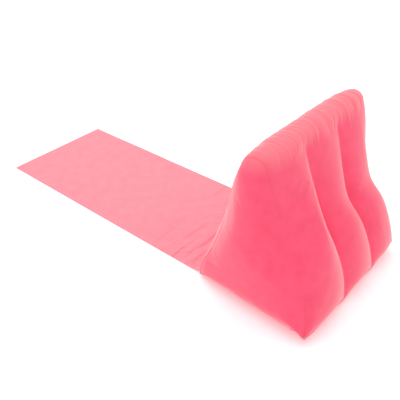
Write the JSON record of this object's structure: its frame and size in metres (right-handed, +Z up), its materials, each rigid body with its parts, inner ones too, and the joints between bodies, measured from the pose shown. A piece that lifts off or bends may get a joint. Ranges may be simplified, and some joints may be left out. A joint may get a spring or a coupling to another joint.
{
  "type": "inflatable wedge lounger mat",
  "caption": "Flocked inflatable backrest wedge with ribbed panels and a thin flat mat that lifts and folds, with a plugged soft air valve.",
  "frame": {"origin": "on the floor, at the centre of the whole footprint with the mat laid flat", "axes": "+Z up; +Y along the mat from its far end to the back of the wedge; +X to the left of a person who sits on the mat with the wedge behind them"},
  "size_m": [0.4928, 1.2841, 0.4734],
  "materials": {
    "flocked_vinyl": "matte flocked velvet",
    "plain_vinyl": "soft satin vinyl",
    "rib_film": "thin satin film",
    "valve_vinyl": "soft satin vinyl"
  },
  "bodies": {
    "wedge": {"front_panel": "flocked_vinyl", "back_panel": "flocked_vinyl", "base_panel": "plain_vinyl", "left_side_panel": "flocked_vinyl", "right_side_panel": "flocked_vinyl", "left_rib": "rib_film", "right_rib": "rib_film", "left_side_seam": "plain_vinyl", "right_side_seam": "plain_vinyl", "front_base_seam": "plain_vinyl", "ridge_seam": "plain_vinyl", "back_base_seam": "plain_vinyl", "valve_flange": "valve_vinyl"},
    "mat_inner": {"mat_inner_half": "flocked_vinyl"},
    "mat_outer": {"mat_outer_half": "flocked_vinyl"},
    "valve_stem": {"valve_stem": "valve_vinyl", "strap_lug": "valve_vinyl"},
    "valve_plug": {"valve_plug": "valve_vinyl", "plug_strap": "valve_vinyl"},
    "valve_flap": {"valve_flap": "valve_vinyl"}
  },
  "joints": [
    {"name": "mat_hinge", "type": "hinge", "parent": "wedge", "child": "mat_inner", "pos_m": [0, 0.27078, 0.011], "axis": [-1, 0, 0], "range_deg": [0, 65]},
    {"name": "mat_fold", "type": "hinge", "parent": "mat_inner", "child": "mat_outer", "pos_m": [0, -0.22922, 0.0017], "axis": [-1, 0, 0], "range_deg": [0, 178]},
    {"name": "valve_pull", "type": "slide", "parent": "wedge", "child": "valve_stem", "axis": [-1, 0, 0], "range_m": [0, 0.012]},
    {"name": "plug_flip", "type": "hinge", "parent": "valve_stem", "child": "valve_plug", "pos_m": [-0.24311, 0.49778, 0.11375], "axis": [0, -1, 0], "range_deg": [0, 150]},
    {"name": "flap_open", "type": "hinge", "parent": "valve_stem", "child": "valve_flap", "pos_m": [-0.21951, 0.49778, 0.1308], "axis": [0, -1, 0], "range_deg": [0, 50], "stiffness_Nm_per_rad": 0.00002}
  ]
}
